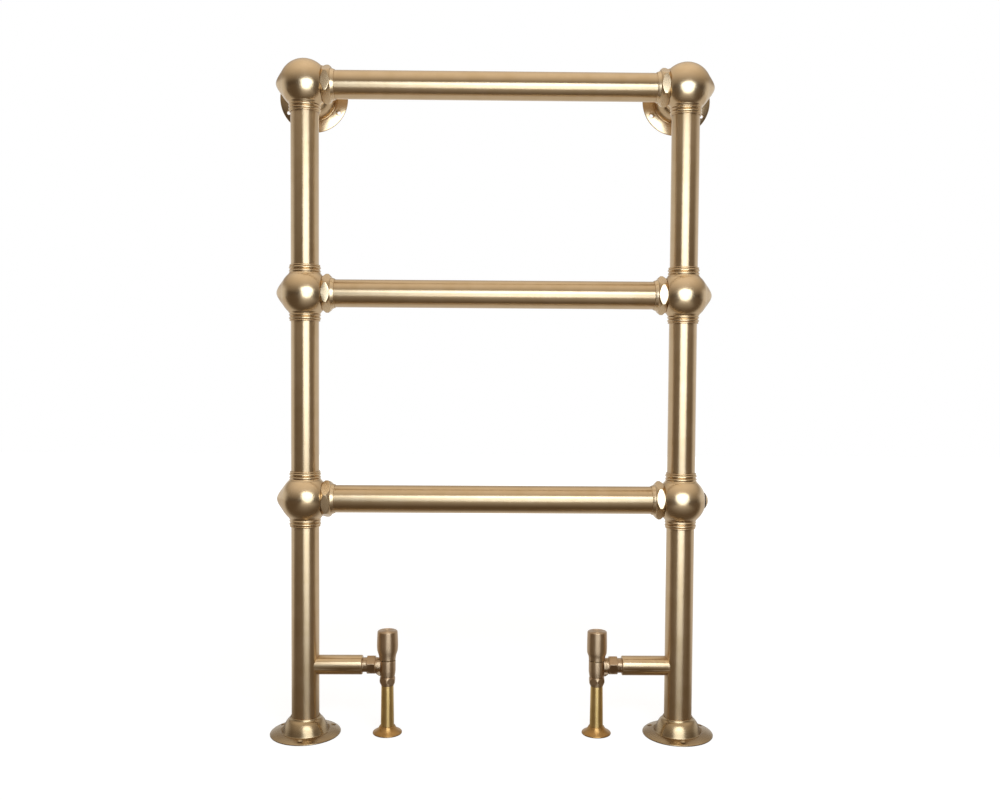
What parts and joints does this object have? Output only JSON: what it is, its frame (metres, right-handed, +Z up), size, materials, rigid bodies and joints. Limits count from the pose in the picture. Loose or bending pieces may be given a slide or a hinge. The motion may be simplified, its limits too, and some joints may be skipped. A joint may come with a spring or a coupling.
{
  "type": "floor-standing towel rail",
  "caption": "Floor-standing towel rail of ball-jointed brass tube, held by round flanges to floor and wall, with an angle valve at each foot.",
  "frame": {"origin": "centre of the part's box, on the floor", "axes": "+Z up, +Y towards the wall, +X to the right of someone who faces the wall"},
  "size_m": [0.6172, 0.1206, 0.9426],
  "materials": {
    "satin_brass": "satin, pale gold",
    "valve_brass": "satin, darker and pinker",
    "yellow_brass": "polished yellow brass",
    "raw_brass": "as turned",
    "rubber": "matt",
    "fibre": "matt red fibre",
    "plastic": "matt, off-white"
  },
  "bodies": {
    "rail": {"lower_upright_left": "satin_brass", "lower_upright_right": "satin_brass", "middle_upright_left": "satin_brass", "middle_upright_right": "satin_brass", "upper_upright_left": "satin_brass", "upper_upright_right": "satin_brass", "foot_plugs": "raw_brass", "bottom_ball_left": "satin_brass", "bottom_ball_right": "satin_brass", "middle_ball_left": "satin_brass", "middle_ball_right": "satin_brass", "top_ball_left": "satin_brass", "top_ball_right": "satin_brass", "bottom_bar": "satin_brass", "middle_bar": "satin_brass", "top_bar": "satin_brass", "bar_tails": "raw_brass", "bar_seals": "fibre", "bottom_nut_left": "satin_brass", "bottom_nut_right": "satin_brass", "middle_nut_left": "satin_brass", "middle_nut_right": "satin_brass", "top_nut_left": "satin_brass", "top_nut_right": "satin_brass", "blanking_plug": "satin_brass", "blanking_plug_seal": "rubber", "floor_flange_left": "satin_brass", "floor_flange_right": "satin_brass", "wall_stays": "satin_brass", "wall_flange_left": "satin_brass", "wall_flange_right": "satin_brass", "stub_left": "satin_brass", "stub_right": "satin_brass", "valve_body_left": "valve_brass", "valve_body_right": "valve_brass", "valve_tail_left": "valve_brass", "valve_tail_right": "valve_brass", "valve_union_nuts": "valve_brass", "valve_union_washers": "fibre", "compression_nuts": "valve_brass", "olives": "raw_brass", "headwork_left": "raw_brass", "headwork_right": "raw_brass", "spindle_o_rings": "rubber", "pipe_sleeve_left": "yellow_brass", "pipe_sleeve_right": "yellow_brass", "floor_rose_left": "yellow_brass", "floor_rose_right": "yellow_brass"},
    "handwheel": {"handwheel": "valve_brass", "handwheel_insert": "plastic", "wheel_spindle": "raw_brass"},
    "wheel_disc": {"wheel_disc_carrier": "raw_brass", "wheel_disc_washer": "rubber"},
    "lockshield_spindle": {"lockshield_spindle": "raw_brass"},
    "lockshield_disc": {"lockshield_disc_carrier": "raw_brass", "lockshield_disc_washer": "rubber"},
    "lockshield_cap": {"lockshield_cap": "valve_brass", "lockshield_grip_ring": "plastic"}
  },
  "joints": [
    {"name": "handwheel_turn", "type": "hinge", "parent": "rail", "child": "handwheel", "pos_m": [-0.146, -0.0117, 0.096], "axis": [0, 0, 1], "range_deg": [0, 900]},
    {"name": "wheel_disc_lift", "type": "slide", "parent": "rail", "child": "wheel_disc", "axis": [0, 0, 1], "range_m": [0, 0.00376]},
    {"name": "lockshield_turn", "type": "hinge", "parent": "rail", "child": "lockshield_spindle", "pos_m": [0.146, -0.0117, 0.096], "axis": [0, 0, 1], "range_deg": [0, 900]},
    {"name": "lockshield_disc_lift", "type": "slide", "parent": "rail", "child": "lockshield_disc", "axis": [0, 0, 1], "range_m": [0, 0.00375]},
    {"name": "lockshield_cap_pull", "type": "slide", "parent": "rail", "child": "lockshield_cap", "axis": [0, 0, 1], "range_m": [0, 0.03]}
  ],
  "couplings": [
    {"joint": "wheel_disc_lift", "follows": "handwheel_turn", "m_per_rad": 0.00023873},
    {"joint": "lockshield_turn", "follows": "lockshield_disc_lift", "rad_per_m": 4188.8}
  ]
}
